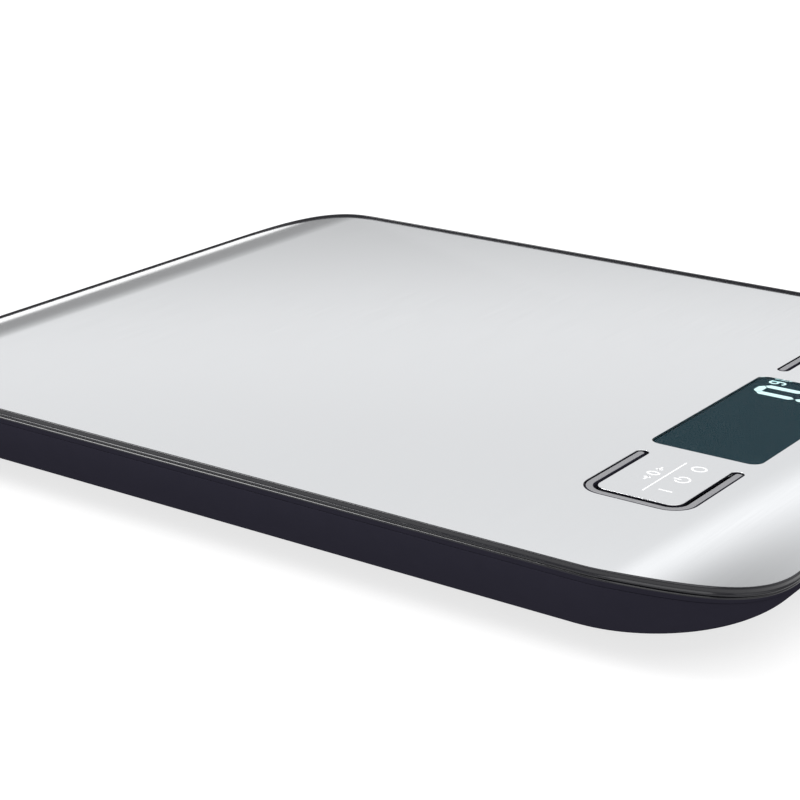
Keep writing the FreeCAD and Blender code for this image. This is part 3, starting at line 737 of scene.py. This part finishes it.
def make_cover():
    """Rim and deck in one: rounded lip, hollowed skirt, pocket for the window, openings under the keys."""
    sizes = bpy.context.scene.scale_sizes
    rim = sizes.rim_width
    deck = SURROUND_LOW.z
    under = TOP - sizes.cover_depth
    lip = [(rim, TOP - deck), (rim, 0.20 * MM), (rim - 0.04 * MM, 0.08 * MM), (rim - 0.12 * MM, 0.015 * MM),
           (rim - 0.20 * MM, 0.0)]
    lip += [(inset * MM, depth * MM) for inset, depth in COVER_FLANK]
    lip += [(0.17 * MM, sizes.cover_depth - 0.03 * MM), (0.20 * MM, sizes.cover_depth)]
    rings = []
    for inset, depth in lip:
        z = TOP - depth

        def inset_at(y, inset=inset, z=z):
            return inset + tub_inset(TOP - z + drop(y), sizes.tub_inset)
        rings.append(outline_ring(inset_at, lambda y, z=z: z))
    margin = 1.75 * MM
    ledge = LENS_LOW.z - 0.15 * MM
    holes = [stack(window_hole(), [(0, deck), (0, ledge), (margin, ledge), (margin, under)])]
    opening = 0.35 * MM
    for side in SIDES.values():
        holes.append(stack(tongue(side), [(-opening, deck), (-opening, under)]))
    bm = slab(rings, holes)
    for face in bm.faces:
        if face.calc_center_median().z < TOP - LIP_DEPTH:
            face.material_index = 1
    curve_ends(bm)
    made = piece(bm, "black_cover", get_finish("gloss_cover"), crease=60.0)
    made.data.materials.append(get_finish("satin_housing"))
    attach(made, "housing")
    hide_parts("top_cover")


def housing_flank(radius, depth_from, count, downwards=True):
    """Rings of a flank surface from the parting line to the flat bottom, or back up."""
    sizes = bpy.context.scene.scale_sizes
    axis_depth = TOP - UNDERSIDE - sizes.tub_radius

    def angle(y, share):
        start = math.asin(min((depth_from + drop(y) - axis_depth) / radius, 1.0))
        return start + (math.pi / 2 - start) * share

    rings = []
    for step in range(count + 1):
        share = step / count
        rings.append(outline_ring(
            lambda y, share=share: sizes.tub_inset - radius * math.cos(angle(y, share)),
            lambda y, share=share: TOP - axis_depth - radius * math.sin(angle(y, share))))
    return rings if downwards else rings[::-1]


def make_housing():
    """Tub with a flat bottom: foot openings, screw wells, battery bay and finger dish."""
    sizes = bpy.context.scene.scale_sizes
    parting = sizes.cover_depth + 0.04 * MM
    lip = []
    for inset, depth in ((0.10, 0.0), (0.04, 0.01), (0.01, 0.04), (0.0, 0.10)):
        def inset_at(y, inset=inset * MM, depth=depth * MM):
            return tub_inset(parting + LAP + drop(y), sizes.tub_radius) + inset
        lip.append(outline_ring(inset_at, lambda y, depth=depth * MM: TOP - parting - depth - drop(y)))
    rings = housing_flank(sizes.tub_radius - sizes.wall, parting, 8, downwards=False)
    rings += lip + housing_flank(sizes.tub_radius, parting + LAP, 20)
    bm = bmesh.new()
    floor_ring, bottom_ring = chain(bm, rings)
    floor_z = floor_ring[0].co.z
    floor_holes, bottom_holes = [], []
    foot_r, seat_r = 10.9 * MM, 12.6 * MM
    post_r, post_top, bore_r = 4.0 * MM, 7.4 * MM, 2.7 * MM
    for sx, sy in CORNERS.values():
        spot = (sx * (SEAT_LOW.x + SEAT_HIGH.x) / 2, sy * abs(SEAT_LOW.y + SEAT_HIGH.y) / 2)
        seat_w = HOLDER_HIGH.x - HOLDER_LOW.x - 0.4 * MM
        seat = rounded(seat_w, seat_w, seat_r, spot, 8)
        first, seat_top = chain(bm, stack(seat, [(0, floor_z), (0, SEAT_LOW.z)]))
        floor_holes.append(first)
        steps = [(0, SEAT_LOW.z), (0, UNDERSIDE + 0.4 * MM)]
        steps += [(-inset, z) for inset, z in ((0.12 * MM, UNDERSIDE + 0.12 * MM), (0.4 * MM, UNDERSIDE))]
        well_top, last = chain(bm, stack(circle(foot_r, spot, 96), steps))
        cap(bm, seat_top, well_top)
        bottom_holes.append(last)
    for x, y in SCREW_SPOTS:
        spot = (x * MM, y * MM)
        first, last = chain(bm, stack(circle(post_r, spot, 40), [(0, floor_z), (0, post_top)]))
        cap(bm, last)
        floor_holes.append(first)
        steps = [(0, SCREW_SEAT), (0, UNDERSIDE + 0.2 * MM), (-0.2 * MM, UNDERSIDE)]
        first, last = chain(bm, stack(circle(bore_r, spot, 48), steps))
        cap(bm, first)
        bottom_holes.append(last)
    bay_centre, bay_roof, bay_ceiling = (0, 29.25 * MM), 10.0 * MM, 8.8 * MM
    outer = rounded(37.8 * MM, 35.5 * MM, 1.5 * MM, bay_centre, 8)
    first, last = chain(bm, stack(outer, [(0, floor_z), (0, bay_roof)]))
    cap(bm, last)
    floor_holes.append(first)
    door_centre = (0, (DOOR_HIGH.y + 16.25 * MM) / 2 - 0.05 * MM)
    opening = rounded(34 * MM, 28 * MM, 2.5 * MM, door_centre, 8)
    bay = rounded(35 * MM, 32.7 * MM, 1.0 * MM, bay_centre, 8)
    steps = stack(bay, [(0, bay_ceiling), (0, floor_z)])
    steps += stack(opening, [(0, floor_z), (0, UNDERSIDE + 0.25 * MM), (-0.25 * MM, UNDERSIDE)])
    first, last = chain(bm, steps)
    cap(bm, first)
    bottom_holes.append(last)
    dish_spot, dish_r, dish_depth = (0, 48.6 * MM), 3.9 * MM, 0.9 * MM
    dish = [(dish_r * (1 - share), UNDERSIDE + dish_depth * math.sin(math.pi / 2 * share))
            for share in (0.9, 0.75, 0.6, 0.45, 0.3, 0.15, 0.0)]
    first, last = chain(bm, [[(x, y, z) for x, y in circle(r, dish_spot, 40)()] for r, z in dish])
    cap(bm, first)
    bottom_holes.append(last)
    cap(bm, floor_ring, *floor_holes)
    cap(bm, bottom_ring, *bottom_holes)
    made = piece(bm, "black_housing", get_finish("satin_housing"), crease=40.0)
    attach(made, "housing")
    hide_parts("lower_housing")


def clean_copy(node, name, finish_name, body):
    """Copy of a CAD node with its loose triangles merged into clean faces."""
    bm = bmesh.new()
    bm.from_mesh(frame["nodes"][node].data)
    bmesh.ops.remove_doubles(bm, verts=bm.verts[:], dist=1e-6)
    bmesh.ops.dissolve_limit(bm, angle_limit=math.radians(1.5), verts=bm.verts[:], edges=bm.edges[:])
    made = piece(bm, name, get_finish(finish_name), crease=30.0)
    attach(made, body)
    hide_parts(node)
    return made


def make_door():
    """Battery door, a clean copy of its CAD node, with a row of grip ridges."""
    clean_copy("battery_door", "bay_door", "satin_housing", "battery_door")
    bm = bmesh.new()
    first_rib, pitch = 38.4, 1.1
    rib = rounded(14 * MM, 0.5 * MM, 0.24 * MM, per_corner=6)
    first, last = chain(bm, stack(rib, [(0, 0.3 * MM), (0, 0.1 * MM), (0.08 * MM, 0.02 * MM),
                                        (0.16 * MM, 0.0)]))
    cap(bm, first)
    cap(bm, last)
    copy = piece(bm, "grip_rib", get_finish("satin_housing"))
    spots = [(0, (first_rib + pitch * step) * MM, DOOR_LOW.z) for step in range(4)]
    ribs = repeated("bay_door_ribs", copy, spots, get_finish("satin_housing"))
    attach(ribs, "battery_door")


def make_feet():
    """Foot cups, and rubber pads with a tread of low studs."""
    stud_h = 0.25 * MM
    cup_r = (CUP_HIGH.x - CUP_LOW.x) / 2
    pad_r = (PAD_HIGH.x - PAD_LOW.x) / 2
    cup_top = 3.4 * MM
    for word, (sx, sy) in CORNERS.items():
        spot = (sx * (CUP_LOW.x + CUP_HIGH.x) / 2, sy * abs(CUP_LOW.y + CUP_HIGH.y) / 2)
        base = CUP_LOW.z
        rounding = [(cup_r - 0.8 * MM * (1 - math.sin(t)), base + 0.8 * MM * (1 - math.cos(t)))
                    for t in [math.pi / 2 * step / 6 for step in range(7)]]
        profile = [(0, PAD_HIGH.z), (pad_r, PAD_HIGH.z), (pad_r, base + 0.1 * MM), (pad_r + 0.1 * MM, base)]
        profile += rounding
        profile += [(cup_r, cup_top - 0.2 * MM), (cup_r - 0.2 * MM, cup_top), (3 * MM, cup_top),
                    (3 * MM, CUP_HIGH.z), (0, CUP_HIGH.z)]
        bm = bmesh.new()
        turned(bm, profile, spot)
        cup = piece(bm, word + "_cup", get_finish("foot_moulding"))
        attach(cup, "housing")
        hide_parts(word + "_foot_cup")
        bm = bmesh.new()
        turned(bm, [(0, PAD_HIGH.z), (pad_r, PAD_HIGH.z), (pad_r, stud_h + 0.3 * MM),
                    (pad_r - 0.1 * MM, stud_h + 0.1 * MM), (pad_r - 0.35 * MM, stud_h), (0, stud_h)], spot)
        pad = piece(bm, word + "_pad", get_finish("foot_rubber"))
        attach(pad, "housing")
        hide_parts(word + "_foot_pad")
        bm = bmesh.new()
        turned(bm, [(0, 0.0), (0.55 * MM, 0.0), (0.65 * MM, 0.05 * MM), (0.7 * MM, stud_h + 0.05 * MM),
                    (0, stud_h + 0.05 * MM)], (0, 0), 16)
        stud = piece(bm, word + "_stud", get_finish("foot_rubber"))
        spots = [(spot[0], spot[1], 0)]
        for ring, number in ((2.4 * MM, 6), (4.7 * MM, 12), (7.0 * MM, 18)):
            spots += [(x, y, 0) for x, y in circle(ring, spot, number)()]
        tread = repeated(word + "_tread", stud, spots, get_finish("foot_rubber"))
        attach(tread, "housing")


def make_screws():
    """Six housing screws with a rounded pan head and a cross recess."""
    head_low = SCREW_SEAT - 1.4 * MM
    bm = bmesh.new()
    arm, half = 1.45 * MM, 0.3 * MM
    cross = [(half, half), (half, arm), (-half, arm), (-half, half), (-arm, half), (-arm, -half),
             (-half, -half), (-half, -arm), (half, -arm), (half, -half), (arm, -half), (arm, half)]
    flare = 1.06
    upper = [(x, y, head_low + 0.8 * MM) for x, y in cross]
    lower = [(x * flare, y * flare, head_low) for x, y in cross]
    recess_top, recess_low = chain(bm, [upper, lower])
    cap(bm, recess_top)
    head_r, shank_r, tip = 2.35 * MM, 1.1 * MM, 11.8 * MM
    profile = [(head_r - 0.6 * MM, head_low), (head_r - 0.25 * MM, head_low + 0.12 * MM),
               (head_r - 0.05 * MM, head_low + 0.4 * MM), (head_r, head_low + 0.8 * MM),
               (head_r, SCREW_SEAT), (shank_r, SCREW_SEAT), (shank_r, tip)]
    first, last = chain(bm, [[(x, y, z) for x, y in circle(r, (0, 0), 48)()] for r, z in profile])
    cap(bm, first, recess_low)
    cap(bm, last)
    copy = piece(bm, "screw_copy", get_finish("screw_steel"))
    spots = [(x * MM, y * MM, 0) for x, y in SCREW_SPOTS]
    screws = repeated("housing_screw_set", copy, spots, get_finish("screw_steel"), turn=0.7)
    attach(screws, "housing")
    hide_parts("housing_screws")


INNER_FINISHES = {
    "tape_white": ["plate_tape", "lens_tape"],
    "cell_steel": ["coin_cell"],
    "spring_nickel": ["minus_contact", "plus_contact"],
    "film_grey": ["front_polariser", "rear_polariser", "lcd_panel"],
    "natural_plastic": ["lcd_holder", "light_guide", "backlight_leds"],
    "silicone": ["zebra_strip", "left_key_pad", "right_key_pad"],
    "board_green": ["main_board"],
    "cast_resin": ["controller_chip", "board_parts"],
    "screw_steel": ["board_screws"],
    "wire_jacket": ["sensor_wires", "battery_wires"],
    "switch_case": ["left_switch_body", "right_switch_body"],
    "switch_stem": ["left_switch_plunger", "right_switch_plunger"],
}
FOOT_FINISHES = {"sensor_plate": "spring_nickel", "strain_gauge": "gauge_foil",
                 "sensor_holder": "natural_plastic", "foot_rivet": "screw_steel"}


def dress(node, finish_name):
    """Gives a carried-over CAD node its finish."""
    mesh = frame["nodes"][node].data
    mesh.materials.clear()
    mesh.materials.append(get_finish(finish_name))


def dress_inner_parts():
    for finish_name, nodes in INNER_FINISHES.items():
        for node in nodes:
            dress(node, finish_name)
    for corner in CORNERS:
        for part, finish_name in FOOT_FINISHES.items():
            dress(corner + "_" + part, finish_name)


# ---- Stage ----

def softbox(name, place, size, power):
    light = bpy.data.lights.new(name, "AREA")
    light.shape = "RECTANGLE"
    light.size, light.size_y = size
    light.energy = power
    made = bpy.data.objects.new(name, light)
    made.location = place
    made.rotation_euler = (-Vector(place)).to_track_quat("-Z", "Y").to_euler()
    bpy.context.scene.collection.objects.link(made)


def studio_sky():
    """Soft surround: brightness by elevation above the horizon, in degrees."""
    world = bpy.data.worlds.new("studio")
    world.use_nodes = True
    bpy.context.scene.world = world
    nodes = world.node_tree.nodes
    place = nodes.new("ShaderNodeTexCoord")
    parts = nodes.new("ShaderNodeSeparateXYZ")
    rise = nodes.new("ShaderNodeMath")
    rise.operation = "ARCSINE"
    share = nodes.new("ShaderNodeMapRange")
    share.inputs["From Min"].default_value = 0.0
    share.inputs["From Max"].default_value = math.pi / 2
    ramp = nodes.new("ShaderNodeValToRGB")
    stops = [(0, 0.32), (10, 0.36), (14.5, 0.60), (16.5, 1.04), (20, 0.87), (24, 0.88), (27, 1.30),
             (29.5, 1.10), (33, 0.55), (38, 0.24), (90, 0.24)]
    band = ramp.color_ramp
    while len(band.elements) < len(stops):
        band.elements.new(0.5)
    for element, (degrees, level) in zip(band.elements, stops):
        element.position = degrees / 90
        element.color = (level * 0.985, level * 0.99, level, 1)
    join(world.node_tree, (place, "Generated", parts, "Vector"), (parts, "Z", rise, 0),
         (rise, 0, share, "Value"), (share, "Result", ramp, "Fac"),
         (ramp, "Color", nodes["Background"], "Color"))


def make_stage():
    """Pale floor, soft light and the camera."""
    scene = bpy.context.scene
    studio = scene.scale_studio
    scene.view_settings.view_transform = "Standard"
    half = 4.0
    mesh = bpy.data.meshes.new("floor")
    mesh.from_pydata([(-half, -half, 0), (half, -half, 0), (half, half, 0), (-half, half, 0)], [],
                     [(0, 1, 2, 3)])
    floor = bpy.data.objects.new("floor", mesh)
    scene.collection.objects.link(floor)
    sweep = finish("floor_pale", scene.scale_finish.floor, (0.6, 0.7), scale=60, relief=0.02, tint=0.004,
                   specular=0.1)
    glow = sweep.node_tree.nodes["Principled BSDF"]
    glow.inputs["Emission Color"].default_value = (1, 1, 1, 1)
    glow.inputs["Emission Strength"].default_value = studio.floor_glow
    mesh.materials.append(sweep)
    studio_sky()
    softbox("key_light", (-0.3, -0.3, 2.0), (3.0, 3.0), 50.0)
    softbox("rim_light", (-0.5, 0.85, 1.0), (0.6, 0.6), 11.0)
    data = bpy.data.cameras.new("camera")
    data.lens = studio.lens
    data.sensor_width = 36.0
    camera = bpy.data.objects.new("camera", data)
    flat = math.cos(studio.pitch)
    ahead = Vector((math.sin(studio.yaw) * flat, math.cos(studio.yaw) * flat, -math.sin(studio.pitch)))
    camera.location = studio.place
    turn = ahead.to_track_quat("-Z", "Y") @ Quaternion((0, 0, 1), studio.roll)
    camera.rotation_euler = turn.to_euler()
    scene.collection.objects.link(camera)
    scene.camera = camera


# ---- Operators ----

class SCALE_OT_plate(bpy.types.Operator):
    """Make the steel plate"""
    bl_idname = "scale.plate"
    bl_label = "Steel Plate"

    def execute(self, context):
        make_plate()
        return {"FINISHED"}


class SCALE_OT_keys(bpy.types.Operator):
    """Make the two steel keys"""
    bl_idname = "scale.keys"
    bl_label = "Keys"

    def execute(self, context):
        make_keys()
        return {"FINISHED"}


class SCALE_OT_marks(bpy.types.Operator):
    """Print the signs on the keys"""
    bl_idname = "scale.marks"
    bl_label = "Key Marks"

    def execute(self, context):
        make_marks()
        return {"FINISHED"}


class SCALE_OT_surrounds(bpy.types.Operator):
    """Make the grey ridges in the slots"""
    bl_idname = "scale.surrounds"
    bl_label = "Slot Ridges"

    def execute(self, context):
        make_surrounds()
        return {"FINISHED"}


class SCALE_OT_display(bpy.types.Operator):
    """Make the display window, its ground and digits"""
    bl_idname = "scale.display"
    bl_label = "Display"

    def execute(self, context):
        make_display()
        return {"FINISHED"}


class SCALE_OT_cover(bpy.types.Operator):
    """Make the top cover with its rim"""
    bl_idname = "scale.cover"
    bl_label = "Top Cover"

    def execute(self, context):
        make_cover()
        return {"FINISHED"}


class SCALE_OT_housing(bpy.types.Operator):
    """Make the lower housing"""
    bl_idname = "scale.housing"
    bl_label = "Lower Housing"

    def execute(self, context):
        make_housing()
        return {"FINISHED"}


class SCALE_OT_door(bpy.types.Operator):
    """Make the battery door"""
    bl_idname = "scale.door"
    bl_label = "Battery Door"

    def execute(self, context):
        make_door()
        return {"FINISHED"}


class SCALE_OT_feet(bpy.types.Operator):
    """Make the four feet"""
    bl_idname = "scale.feet"
    bl_label = "Feet"

    def execute(self, context):
        make_feet()
        return {"FINISHED"}


class SCALE_OT_screws(bpy.types.Operator):
    """Make the housing screws"""
    bl_idname = "scale.screws"
    bl_label = "Screws"

    def execute(self, context):
        make_screws()
        return {"FINISHED"}


class SCALE_OT_inner(bpy.types.Operator):
    """Give the inner parts their finishes"""
    bl_idname = "scale.inner"
    bl_label = "Inner Parts"

    def execute(self, context):
        dress_inner_parts()
        return {"FINISHED"}


class SCALE_OT_stage(bpy.types.Operator):
    """Set the floor, the light and the camera"""
    bl_idname = "scale.stage"
    bl_label = "Stage"

    def execute(self, context):
        make_stage()
        return {"FINISHED"}


OPERATORS = (SCALE_OT_stage, SCALE_OT_plate, SCALE_OT_keys, SCALE_OT_marks, SCALE_OT_surrounds,
             SCALE_OT_display, SCALE_OT_cover, SCALE_OT_housing, SCALE_OT_door, SCALE_OT_feet,
             SCALE_OT_screws, SCALE_OT_inner)


class SCALE_PT_panel(bpy.types.Panel):
    """Sizes, finishes and pieces of the scale"""
    bl_idname = "SCALE_PT_panel"
    bl_label = "Kitchen Scale"
    bl_space_type = "VIEW_3D"
    bl_region_type = "UI"
    bl_category = "Scale"

    def draw(self, context):
        for group in (context.scene.scale_sizes, context.scene.scale_finish, context.scene.scale_studio):
            box = self.layout.box()
            for name in group.bl_rna.properties.keys():
                if name not in {"rna_type", "name"}:
                    box.prop(group, name)
        for operator in OPERATORS:
            self.layout.operator(operator.bl_idname)


GROUPS = {"scale_sizes": ScaleSizes, "scale_finish": ScaleFinish, "scale_studio": ScaleStudio}


def register():
    for group in GROUPS.values():
        bpy.utils.register_class(group)
    for name, group in GROUPS.items():
        setattr(bpy.types.Scene, name, PointerProperty(type=group))
    for operator in OPERATORS:
        bpy.utils.register_class(operator)
    bpy.utils.register_class(SCALE_PT_panel)


def unregister():
    bpy.utils.unregister_class(SCALE_PT_panel)
    for operator in reversed(OPERATORS):
        bpy.utils.unregister_class(operator)
    for name in GROUPS:
        delattr(bpy.types.Scene, name)
    for group in reversed(list(GROUPS.values())):
        bpy.utils.unregister_class(group)


def main():
    register()
    for operator in OPERATORS:
        group, name = operator.bl_idname.split(".")
        getattr(getattr(bpy.ops, group), name)()


if __name__ == "__main__":
    main()
